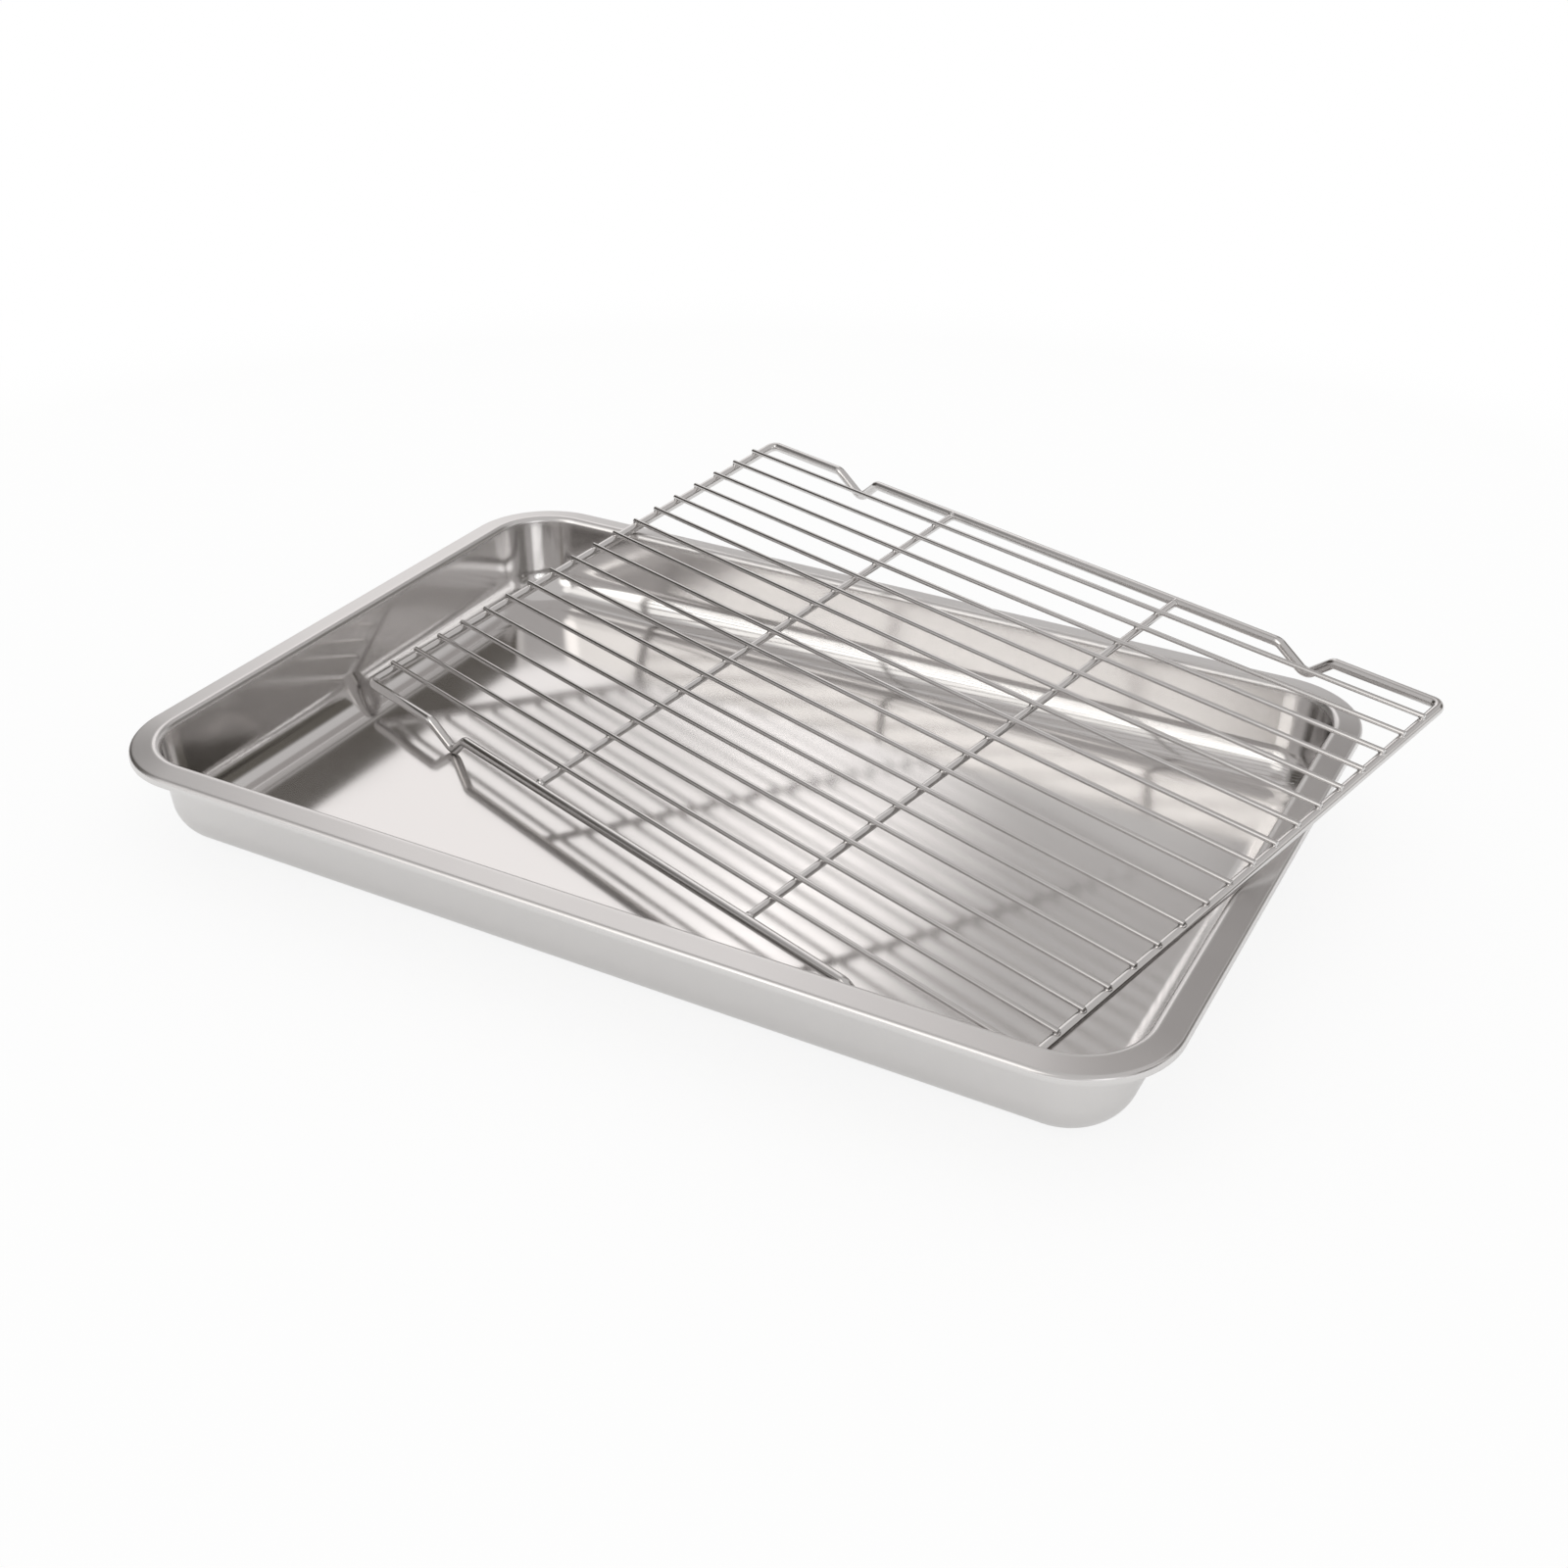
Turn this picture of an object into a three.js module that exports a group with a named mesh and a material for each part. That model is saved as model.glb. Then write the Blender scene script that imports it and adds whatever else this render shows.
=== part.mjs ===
// A baking tray pressed from one stainless steel sheet, with a welded wire rack laid askew in it.
// Millimetres, +Z up. The origin is the middle of the tray's underside, X runs along its long side,
// and the front of the tray faces -Y.
import * as THREE from 'three';

// Tray
const TRAY_LENGTH = 400;
const TRAY_WIDTH = 276;
const TRAY_HEIGHT = 38.5;
const SHEET = 0.8;
const FLANGE_WIDTH = 11;
const RIM_CORNER_RADIUS = 35.5;
const RIM_BEND_RADIUS = 2.5;
const FLOOR_BEND_RADIUS = 15;
const LIP_BEND_RADIUS = 1.6;
const LIP_DROP = 3.5;
const FLANGE_SLOPE_DEGREES = 7;
const WALL_DRAFT_DEGREES = 5;
const LEAST_CORNER_RADIUS = 2;

// Rack, which is made to drop into the tray's mouth with a clearance all round
const RACK_CLEARANCE = 10;
const BORDER_WIRE = 4;
const CROSS_WIRE = 3;
const LONG_WIRE = 2;
const RACK_CORNER_RADIUS = 3.5;
const LONG_WIRE_COUNT = 18;
const LONG_WIRE_SETBACK = 1;
const CROSS_WIRE_INSET = 117;
const FOOT_INSET = 57;
const FOOT_WIDTH = 24;
const FOOT_DEPTH = 10;
const FOOT_BEND_RADIUS = 4;
const WELD_GAP = 0.3;

// How the rack lies in the tray
const RACK_TURN_DEGREES = -19.2;
const RACK_LEFT_GAP = 3.3;
const REST_GAP = 0.3;
const SETTLE_STEPS = 200;

// Fineness of the round stretches
const CORNER_STEPS = 7;
const BEND_STEPS = 3;
const FLOOR_BEND_STEPS = 6;
const WIRE_SIDES = 8;
const RACK_CORNER_STEPS = 5;
const FOOT_BEND_STEPS = 3;

const draft = THREE.MathUtils.degToRad(WALL_DRAFT_DEGREES);
const flangeSlope = THREE.MathUtils.degToRad(FLANGE_SLOPE_DEGREES);
const borderRadius = BORDER_WIRE / 2;

// The rack's border is measured to the middle of its wire, and its feet and cross wires stand in from its
// two ends.
const rackLength = TRAY_LENGTH - 2 * (FLANGE_WIDTH + RACK_CLEARANCE) - BORDER_WIRE;
const rackWidth = TRAY_WIDTH - 2 * (FLANGE_WIDTH + RACK_CLEARANCE) - BORDER_WIRE;
const crossWireX = rackLength / 2 - CROSS_WIRE_INSET;
const footX = rackLength / 2 - FOOT_INSET;

// Materials
const trayMaterial = new THREE.MeshStandardMaterial({ color: 0xc9c7c4, roughness: 0.18, metalness: 1 });
const wireMaterial = new THREE.MeshStandardMaterial({ color: 0xb4b2af, roughness: 0.25, metalness: 1 });

// A surface of vertices and triangles.
function solid(vertices, triangles) {
  const geometry = new THREE.BufferGeometry();
  geometry.setAttribute('position', new THREE.Float32BufferAttribute(vertices.flat(), 3));
  geometry.setIndex(triangles.flat());
  geometry.computeVertexNormals();
  return geometry;
}

function piece(name, geometry, material) {
  const mesh = new THREE.Mesh(geometry, material);
  mesh.name = name;
  return mesh;
}

// Two triangles for each side of the band between two rings of vertices.
function band(firstRing, secondRing, count) {
  const triangles = [];
  for (let index = 0; index < count; index += 1) {
    const next = (index + 1) % count;
    triangles.push([firstRing + index, firstRing + next, secondRing + next]);
    triangles.push([firstRing + index, secondRing + next, secondRing + index]);
  }
  return triangles;
}

// One turn round the tray, a given inset from the rim's outer edge, at one height.
function trayRing(inset, height) {
  const radius = Math.max(RIM_CORNER_RADIUS - inset, LEAST_CORNER_RADIUS);
  const cornerX = TRAY_LENGTH / 2 - inset - radius;
  const cornerY = TRAY_WIDTH / 2 - inset - radius;
  const signs = [[1, 1], [-1, 1], [-1, -1], [1, -1]];
  return signs.flatMap(([signX, signY], corner) => {
    const points = [];
    for (let step = 0; step <= CORNER_STEPS; step += 1) {
      const angle = (corner + step / CORNER_STEPS) * Math.PI / 2;
      points.push([
        signX * cornerX + radius * Math.cos(angle),
        signY * cornerY + radius * Math.sin(angle),
        height,
      ]);
    }
    return points;
  });
}

// Points of [inset, height] on an arc of the tray's section.
function sectionArc(centre, radius, fromAngle, toAngle, steps) {
  const points = [];
  for (let step = 0; step <= steps; step += 1) {
    const angle = fromAngle + (toAngle - fromAngle) * step / steps;
    points.push([centre[0] + radius * Math.cos(angle), centre[1] + radius * Math.sin(angle)]);
  }
  return points;
}

// The section's bends share their centres between the sheet's two faces. The wall's inner face, drawn on
// up to the rim's height, stands one flange width in from the edge. From the bend at its inner edge the
// flange slopes down a little to the lip.
const rimBendCentre = [
  FLANGE_WIDTH - RIM_BEND_RADIUS * (1 - Math.sin(draft)) / Math.cos(draft),
  TRAY_HEIGHT - RIM_BEND_RADIUS,
];
const flangeFall = (rimBendCentre[0] - LIP_BEND_RADIUS) * Math.sin(flangeSlope);
const lipBendCentre = [
  LIP_BEND_RADIUS,
  rimBendCentre[1] + (RIM_BEND_RADIUS - LIP_BEND_RADIUS - flangeFall) / Math.cos(flangeSlope),
];
const lipEdgeHeight = lipBendCentre[1] + LIP_BEND_RADIUS - LIP_DROP;
const flangeNormal = Math.PI / 2 + flangeSlope;
const floorBendHeight = SHEET + FLOOR_BEND_RADIUS;
const floorBendCentre = [
  FLANGE_WIDTH + (FLOOR_BEND_RADIUS + (TRAY_HEIGHT - floorBendHeight) * Math.sin(draft)) / Math.cos(draft),
  floorBendHeight,
];

// One face of the sheet, from the lip's lower edge to the floor: depth is 0 on the upper face and the
// sheet's thickness on the lower one.
function sheetFace(depth) {
  return [
    [depth, lipEdgeHeight],
    ...sectionArc(lipBendCentre, LIP_BEND_RADIUS - depth, Math.PI, flangeNormal, BEND_STEPS),
    ...sectionArc(rimBendCentre, RIM_BEND_RADIUS - depth, flangeNormal, draft, BEND_STEPS),
    ...sectionArc(floorBendCentre, FLOOR_BEND_RADIUS + depth, Math.PI + draft, 1.5 * Math.PI, FLOOR_BEND_STEPS),
  ];
}

// The sheet's two faces, closed along the lip's lower edge and across the floor.
function trayGeometry() {
  const upper = sheetFace(0);
  const lower = sheetFace(SHEET);
  const section = [...upper.reverse(), ...lower];
  const rings = section.map(([inset, height]) => trayRing(inset, height));
  const count = rings[0].length;
  const vertices = rings.flat();
  const triangles = [];
  for (let ring = 0; ring + 1 < rings.length; ring += 1) {
    triangles.push(...band((ring + 1) * count, ring * count, count));
  }
  const floorTop = vertices.push([0, 0, SHEET]) - 1;
  const floorUnder = vertices.push([0, 0, 0]) - 1;
  const lastRing = (rings.length - 1) * count;
  for (let index = 0; index < count; index += 1) {
    const next = (index + 1) % count;
    triangles.push([floorTop, index, next]);
    triangles.push([floorUnder, lastRing + next, lastRing + index]);
  }
  return solid(vertices, triangles);
}

// The points of a round bend that takes a wire's path past a corner.
function bendPoints({ before, corner, after, radius, steps }) {
  const arriving = corner.clone().sub(before).normalize();
  const leaving = after.clone().sub(corner).normalize();
  const turn = arriving.angleTo(leaving);
  const start = corner.clone().addScaledVector(arriving, -radius * Math.tan(turn / 2));
  const inward = leaving.clone().addScaledVector(arriving, -arriving.dot(leaving)).normalize();
  const points = [];
  for (let step = 0; step <= steps; step += 1) {
    const angle = turn * step / steps;
    points.push(start.clone()
      .addScaledVector(inward, radius * (1 - Math.cos(angle)))
      .addScaledVector(arriving, radius * Math.sin(angle)));
  }
  return points;
}

// The corners of one long side of the border, in the direction of travel, with its two V-shaped feet.
function longSide(direction) {
  const side = -direction * rackWidth / 2;
  const footCorners = [-1, 1].flatMap((foot) => [
    [foot * footX - FOOT_WIDTH / 2, 0],
    [foot * footX, -FOOT_DEPTH],
    [foot * footX + FOOT_WIDTH / 2, 0],
  ]);
  const corner = (along, height, radius, steps) => ({
    at: new THREE.Vector3(direction * along, side, height),
    radius,
    steps,
  });
  return [
    corner(-rackLength / 2, 0, RACK_CORNER_RADIUS, RACK_CORNER_STEPS),
    ...footCorners.map(([along, height]) => corner(along, height, FOOT_BEND_RADIUS, FOOT_BEND_STEPS)),
    corner(rackLength / 2, 0, RACK_CORNER_RADIUS, RACK_CORNER_STEPS),
  ];
}

// The middle line of the border wire, once round the rack.
function borderPath() {
  const corners = [...longSide(1), ...longSide(-1)];
  return corners.flatMap(({ at, radius, steps }, index) => bendPoints({
    before: corners[(index + corners.length - 1) % corners.length].at,
    corner: at,
    after: corners[(index + 1) % corners.length].at,
    radius,
    steps,
  }));
}

// A round wire along a closed path that runs counterclockwise in plan.
function loopWireGeometry(path, radius) {
  const vertices = path.flatMap((point, index) => {
    const before = path[(index + path.length - 1) % path.length];
    const after = path[(index + 1) % path.length];
    const arriving = point.clone().sub(before).normalize();
    const along = after.clone().sub(point).normalize().add(arriving).normalize();
    const outward = new THREE.Vector3(along.y, -along.x, 0).normalize();
    const upward = outward.clone().cross(along);
    const ring = [];
    for (let side = 0; side < WIRE_SIDES; side += 1) {
      const angle = (side + 0.5) / WIRE_SIDES * 2 * Math.PI;
      ring.push(point.clone()
        .addScaledVector(outward, radius * Math.cos(angle))
        .addScaledVector(upward, radius * Math.sin(angle))
        .toArray());
    }
    return ring;
  });
  const triangles = path.flatMap((point, index) => {
    const next = (index + 1) % path.length;
    return band(next * WIRE_SIDES, index * WIRE_SIDES, WIRE_SIDES);
  });
  return solid(vertices, triangles);
}

// A straight round wire centred on the origin, along X or along Y.
function straightWireGeometry(diameter, length, alongX) {
  const geometry = new THREE.CylinderGeometry(diameter / 2, diameter / 2, length, WIRE_SIDES);
  geometry.rotateY(Math.PI / WIRE_SIDES);
  if (alongX) {
    geometry.rotateZ(Math.PI / 2);
  }
  return geometry;
}

const rackPath = borderPath();
const footDrop = -Math.min(...rackPath.map((point) => point.z));

// How far in from the rim's outer edge the tray's inner face stands at a height.
function innerFaceInset(height) {
  const wall = FLANGE_WIDTH + (TRAY_HEIGHT - height) * Math.tan(draft);
  const intoBend = Math.min(Math.max(floorBendHeight - height, 0), FLOOR_BEND_RADIUS);
  return wall + FLOOR_BEND_RADIUS - Math.sqrt(FLOOR_BEND_RADIUS ** 2 - intoBend ** 2);
}

// The clear gap between one end wire of the rack and the rounded inner edge of a flange below it: both
// are round bars, so it is the distance between their middle lines less their radii.
function gapOverFlange(rack, endX, edgePoint, edgeDirection) {
  const wirePoint = rack.localToWorld(new THREE.Vector3(endX, 0, 0));
  const wireDirection = rack.localToWorld(new THREE.Vector3(endX, 1, 0)).sub(wirePoint);
  const normal = edgeDirection.clone().cross(wireDirection).normalize();
  const apart = wirePoint.sub(edgePoint).dot(normal);
  return Math.sign(normal.z) * apart - RIM_BEND_RADIUS - borderRadius;
}

// Turns the rack, then shifts and tilts it step by step until it rests on three places and stands clear
// of two walls: its front left foot is on the floor, its right end wire on the right flange's inner edge
// and its left end wire on the back flange's, its front right corner leans on the front wall, and its
// front left corner stands off the left wall.
function settle(rack) {
  const rightEdge = new THREE.Vector3(TRAY_LENGTH / 2 - rimBendCentre[0], 0, rimBendCentre[1]);
  const backEdge = new THREE.Vector3(0, TRAY_WIDTH / 2 - rimBendCentre[0], rimBendCentre[1]);
  const alongX = new THREE.Vector3(1, 0, 0);
  const alongY = new THREE.Vector3(0, 1, 0);
  const foot = new THREE.Vector3(-footX, -rackWidth / 2, -footDrop);
  const cornerX = rackLength / 2 - RACK_CORNER_RADIUS;
  const cornerY = RACK_CORNER_RADIUS - rackWidth / 2;
  const cornerReach = RACK_CORNER_RADIUS + borderRadius;
  rack.rotation.set(0, 0, THREE.MathUtils.degToRad(RACK_TURN_DEGREES), 'XYZ');
  rack.position.z = TRAY_HEIGHT;
  for (let step = 0; step < SETTLE_STEPS; step += 1) {
    rack.updateMatrixWorld();
    const footAt = rack.localToWorld(foot.clone());
    const leftCorner = rack.localToWorld(new THREE.Vector3(-cornerX, cornerY, 0));
    const rightCorner = rack.localToWorld(new THREE.Vector3(cornerX, cornerY, 0));
    const leftFace = innerFaceInset(leftCorner.z - borderRadius) - TRAY_LENGTH / 2;
    const frontFace = innerFaceInset(rightCorner.z - borderRadius) - TRAY_WIDTH / 2;
    const rightGap = gapOverFlange(rack, rackLength / 2, rightEdge, alongY);
    const backGap = gapOverFlange(rack, -rackLength / 2, backEdge, alongX);
    rack.position.x += leftFace + RACK_LEFT_GAP - (leftCorner.x - cornerReach);
    rack.position.y += frontFace + REST_GAP - (rightCorner.y - cornerReach);
    rack.position.z += SHEET + REST_GAP - (footAt.z - borderRadius);
    rack.rotation.y -= (REST_GAP - rightGap) / TRAY_LENGTH;
    rack.rotation.x += (REST_GAP - backGap) / TRAY_WIDTH;
  }
}

function rackGroup() {
  const rack = new THREE.Group();
  rack.add(piece('rack_border', loopWireGeometry(rackPath, borderRadius), wireMaterial));

  // The cross wires butt against the border's long sides, with their tops level with its top.
  const crossLength = rackWidth - BORDER_WIRE - 2 * WELD_GAP;
  const crossWires = [['cross_wire_left', -crossWireX], ['cross_wire_right', crossWireX]];
  crossWires.forEach(([name, place]) => {
    const wire = piece(name, straightWireGeometry(CROSS_WIRE, crossLength, false), wireMaterial);
    wire.position.x = place;
    wire.position.z = (BORDER_WIRE - CROSS_WIRE) / 2;
    rack.add(wire);
  });

  // The long wires lie across the border's ends and the cross wires, evenly spaced between its long sides,
  // and stop a little short of the ends' outer sides.
  const wireLength = rackLength + BORDER_WIRE - 2 * LONG_WIRE_SETBACK;
  const wirePitch = rackWidth / (LONG_WIRE_COUNT + 1);
  for (let index = 1; index <= LONG_WIRE_COUNT; index += 1) {
    const name = `long_wire_${String(index).padStart(2, '0')}`;
    const wire = piece(name, straightWireGeometry(LONG_WIRE, wireLength, true), wireMaterial);
    wire.position.y = index * wirePitch - rackWidth / 2;
    wire.position.z = borderRadius + WELD_GAP + LONG_WIRE / 2;
    rack.add(wire);
  }
  return rack;
}

const bakingTray = new THREE.Group();
bakingTray.add(piece('tray', trayGeometry(), trayMaterial));
const rack = rackGroup();
settle(rack);
bakingTray.add(rack);

export default bakingTray;
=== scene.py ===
"""A stainless steel baking tray with a welded wire rack laid askew in it.

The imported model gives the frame: the tray's box, and the places of the rack's wires. Around that frame the
script builds the finely rounded sheet and wires, their welds and their finishes, and a plain studio.
Lengths are metres in Blender; sizes are written in millimetres and turned to metres by MM.
"""
import logging
import math
from dataclasses import dataclass, field
from enum import Enum
from typing import Any

import bmesh
import bpy
from mathutils import Matrix, Vector


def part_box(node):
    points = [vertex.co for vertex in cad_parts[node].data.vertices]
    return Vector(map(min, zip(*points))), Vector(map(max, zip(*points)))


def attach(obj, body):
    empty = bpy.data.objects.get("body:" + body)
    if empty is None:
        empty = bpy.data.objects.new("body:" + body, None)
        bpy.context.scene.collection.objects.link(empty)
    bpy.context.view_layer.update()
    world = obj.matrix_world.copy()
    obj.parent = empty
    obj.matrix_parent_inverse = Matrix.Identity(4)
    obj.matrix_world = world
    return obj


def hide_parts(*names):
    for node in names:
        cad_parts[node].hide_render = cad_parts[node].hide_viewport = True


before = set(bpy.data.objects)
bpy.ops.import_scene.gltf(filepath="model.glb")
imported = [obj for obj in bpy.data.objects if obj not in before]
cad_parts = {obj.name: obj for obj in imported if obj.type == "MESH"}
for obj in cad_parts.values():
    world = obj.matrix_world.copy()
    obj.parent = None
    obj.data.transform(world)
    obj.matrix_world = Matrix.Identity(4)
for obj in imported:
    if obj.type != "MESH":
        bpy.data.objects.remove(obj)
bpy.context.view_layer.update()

MM = 0.001
# Nearly all values of a noise texture lie in this span.
NOISE_SPAN = (0.3, 0.7)
# Corners of a node's mesh that agree to this many digits of a metre are one point.
POINT_DIGITS = 7
log = logging.getLogger("baking_tray")


class Body(Enum):
    """The two bodies that the pieces ride on."""

    TRAY = "tray"
    RACK = "rack"


class Slot(Enum):
    """The record's material slots."""

    TRAY_STEEL = "tray_steel"
    RACK_WIRE = "rack_wire"


def linear(hex_colour: str) -> tuple[float, float, float, float]:
    """Turns an sRGB hex colour to linear light.

    Args:
        hex_colour: a colour such as "#c8c6c3".

    Returns:
        Red, green, blue and an alpha of one.
    """
    values = [int(hex_colour[index:index + 2], 16) / 255 for index in (1, 3, 5)]
    lit = [value / 12.92 if value <= 0.04045 else ((value + 0.055) / 1.055) ** 2.4 for value in values]
    return lit[0], lit[1], lit[2], 1.0


def add_node(
    tree: bpy.types.NodeTree,
    kind: str,
    inputs: dict[str | int, Any] | None = None,
    **settings: Any,
) -> bpy.types.Node:
    """Adds a node, sets it up and joins it to the nodes before it.

    Args:
        tree: the shader or geometry tree that gets the node.
        kind: the node's Blender type name.
        inputs: a value, or the output socket to link, for each input by name or index.
        settings: the node's own properties.

    Returns:
        The new node.
    """
    node = tree.nodes.new(kind)
    for name, value in settings.items():
        setattr(node, name, value)
    for name, value in (inputs or {}).items():
        if isinstance(value, bpy.types.NodeSocket):
            tree.links.new(value, node.inputs[name])
        else:
            node.inputs[name].default_value = value
    return node


def unit_direction(azimuth: float, elevation: float) -> Vector:
    """Gives a direction in the frame.

    Args:
        azimuth: degrees from +Y, the tray's back, towards +X, its right end.
        elevation: degrees above the horizon.

    Returns:
        The unit vector that points there.
    """
    turn, rise = math.radians(azimuth), math.radians(elevation)
    return Vector((math.sin(turn) * math.cos(rise), math.cos(turn) * math.cos(rise), math.sin(rise)))


def arc_points(
    centre: tuple[float, float], radius: float, from_angle: float, to_angle: float, steps: int
) -> list[tuple[float, float]]:
    """Gives points on an arc in a plane.

    Args:
        centre: the arc's centre.
        radius: the arc's radius.
        from_angle: the first point's angle, in radians.
        to_angle: the last point's angle, in radians.
        steps: the number of chords.

    Returns:
        The points, both ends included.
    """
    angles = [from_angle + (to_angle - from_angle) * step / steps for step in range(steps + 1)]
    return [(centre[0] + radius * math.cos(angle), centre[1] + radius * math.sin(angle)) for angle in angles]


def start_metal(name: str, colour: str) -> tuple[bpy.types.Material, bpy.types.NodeSocket]:
    """Starts the material of a bare metal.

    Args:
        name: the material's name.
        colour: the metal's sRGB hex colour.

    Returns:
        The material, and the socket that gives the piece's own Object coordinates.
    """
    material = bpy.data.materials.new(name)
    material.use_nodes = True
    shader = material.node_tree.nodes["Principled BSDF"]
    shader.inputs["Base Color"].default_value = linear(colour)
    shader.inputs["Metallic"].default_value = 1.0
    return material, add_node(material.node_tree, "ShaderNodeTexCoord").outputs["Object"]


def skin_rings(name: str, rings: list[list[Vector]]) -> bpy.types.Mesh:
    """Skins a row of rings to a closed, smooth mesh.

    Args:
        name: the mesh's name.
        rings: the points of each ring, all of the same count. The first and the last ring are filled.

    Returns:
        The mesh, with its faces pointing outwards.
    """
    shape = bmesh.new()
    loops = [[shape.verts.new(point) for point in ring] for ring in rings]
    for before, after in zip(loops, loops[1:]):
        for index in range(len(before)):
            beside = (index + 1) % len(before)
            shape.faces.new((before[index], after[index], after[beside], before[beside]))
    shape.faces.new(loops[0])
    shape.faces.new(reversed(loops[-1]))
    bmesh.ops.recalc_face_normals(shape, faces=shape.faces[:])
    for face in shape.faces:
        face.smooth = True
    mesh = bpy.data.meshes.new(name)
    shape.to_mesh(mesh)
    shape.free()
    return mesh


@dataclass(frozen=True)
class PressedSheet:
    """Bright-annealed stainless steel sheet, cold rolled and then pressed.

    The eye sees a soft mirror: clear reflections close by, hazy ones further off, a fine rolling grain along
    the sheet's length, and a faint waviness that the press left in the flat floor. The rim is duller.
    """

    name: str = "bright_annealed_stainless_sheet"
    colour: str = "#dfdddc"
    roughness: float = 0.13
    rim_roughness: float = 0.30
    rim_heights: tuple[float, float] = (33 * MM, 37.5 * MM)
    haze_spread: float = 0.04
    haze_size: float = 45 * MM
    # The real grain is finer than a tenth of a millimetre. It is drawn this coarse so that it shows.
    grain_width: float = 0.9 * MM
    grain_length: float = 9 * MM
    grain_spread: float = 0.03
    grain_depth: float = 0.00012 * MM
    wave_size: float = 70 * MM
    wave_depth: float = 0.05 * MM

    def build(self) -> bpy.types.Material:
        """Makes the material.

        Returns:
            The node material, on the piece's own Object coordinates.
        """
        material, place = start_metal(self.name, self.colour)
        tree = material.node_tree
        shader = tree.nodes["Principled BSDF"]
        along_grain = add_node(
            tree,
            "ShaderNodeMapping",
            {"Vector": place, "Scale": (1 / self.grain_length, 1 / self.grain_width, 1 / self.grain_length)},
        ).outputs["Vector"]
        grain = add_node(
            tree, "ShaderNodeTexNoise", {"Vector": along_grain, "Scale": 1.0, "Detail": 2.0}
        ).outputs[0]
        haze = add_node(
            tree, "ShaderNodeTexNoise", {"Vector": place, "Scale": 1 / self.haze_size, "Detail": 3.0}
        ).outputs[0]
        wave = add_node(
            tree, "ShaderNodeTexNoise", {"Vector": place, "Scale": 1 / self.wave_size, "Detail": 1.0}
        ).outputs[0]
        hazy = add_node(
            tree,
            "ShaderNodeMapRange",
            {
                "Value": haze,
                "From Min": NOISE_SPAN[0],
                "From Max": NOISE_SPAN[1],
                "To Min": self.roughness - self.haze_spread / 2,
                "To Max": self.roughness + self.haze_spread / 2,
            },
        ).outputs["Result"]
        height = add_node(tree, "ShaderNodeSeparateXYZ", {"Vector": place}).outputs["Z"]
        dulled = add_node(
            tree,
            "ShaderNodeMapRange",
            {
                "Value": height,
                "From Min": self.rim_heights[0],
                "From Max": self.rim_heights[1],
                "To Max": self.rim_roughness - self.roughness,
            },
            interpolation_type="SMOOTHSTEP",
        ).outputs["Result"]
        rimmed = add_node(tree, "ShaderNodeMath", {0: hazy, 1: dulled}, operation="ADD").outputs[0]
        grainy = add_node(
            tree, "ShaderNodeMath", {0: grain, 1: self.grain_spread, 2: rimmed}, operation="MULTIPLY_ADD"
        ).outputs[0]
        level = add_node(
            tree, "ShaderNodeMath", {0: grainy, 1: self.grain_spread / 2}, operation="SUBTRACT"
        ).outputs[0]
        tree.links.new(level, shader.inputs["Roughness"])
        waved = add_node(
            tree, "ShaderNodeBump", {"Height": wave, "Strength": 1.0, "Distance": self.wave_depth}
        ).outputs["Normal"]
        grained = add_node(
            tree,
            "ShaderNodeBump",
            {"Height": grain, "Strength": 1.0, "Distance": self.grain_depth, "Normal": waved},
        ).outputs["Normal"]
        tree.links.new(grained, shader.inputs["Normal"])
        return material


@dataclass(frozen=True)
class DrawnWire:
    """Drawn stainless steel wire, welded and then electropolished.

    The eye sees a satin grey bar with one soft highlight along it, a little uneven from place to place.
    """

    name: str = "electropolished_stainless_wire"
    colour: str = "#dad8d7"
    roughness: float = 0.17
    roughness_spread: float = 0.10
    patch_size: float = 14 * MM
    # Real pits are too fine to see. They are drawn this coarse so that the highlight breaks up a little.
    pit_size: float = 0.7 * MM
    pit_depth: float = 0.006 * MM

    def build(self) -> bpy.types.Material:
        """Makes the material.

        Returns:
            The node material, on the piece's own Object coordinates.
        """
        material, place = start_metal(self.name, self.colour)
        tree = material.node_tree
        shader = tree.nodes["Principled BSDF"]
        patches = add_node(
            tree, "ShaderNodeTexNoise", {"Vector": place, "Scale": 1 / self.patch_size, "Detail": 3.0}
        ).outputs[0]
        pits = add_node(
            tree, "ShaderNodeTexNoise", {"Vector": place, "Scale": 1 / self.pit_size, "Detail": 2.0}
        ).outputs[0]
        level = add_node(
            tree,
            "ShaderNodeMapRange",
            {
                "Value": patches,
                "From Min": NOISE_SPAN[0],
                "From Max": NOISE_SPAN[1],
                "To Min": self.roughness - self.roughness_spread / 2,
                "To Max": self.roughness + self.roughness_spread / 2,
            },
        ).outputs["Result"]
        tree.links.new(level, shader.inputs["Roughness"])
        pitted = add_node(
            tree, "ShaderNodeBump", {"Height": pits, "Strength": 1.0, "Distance": self.pit_depth}
        ).outputs["Normal"]
        tree.links.new(pitted, shader.inputs["Normal"])
        return material


class SizeInput(Enum):
    """The kinds of input that a geometry tree takes for its sizes."""

    LENGTH = "NodeSocketFloat"
    COUNT = "NodeSocketInt"
    VECTOR = "NodeSocketVector"
    MATERIAL = "NodeSocketMaterial"


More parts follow.
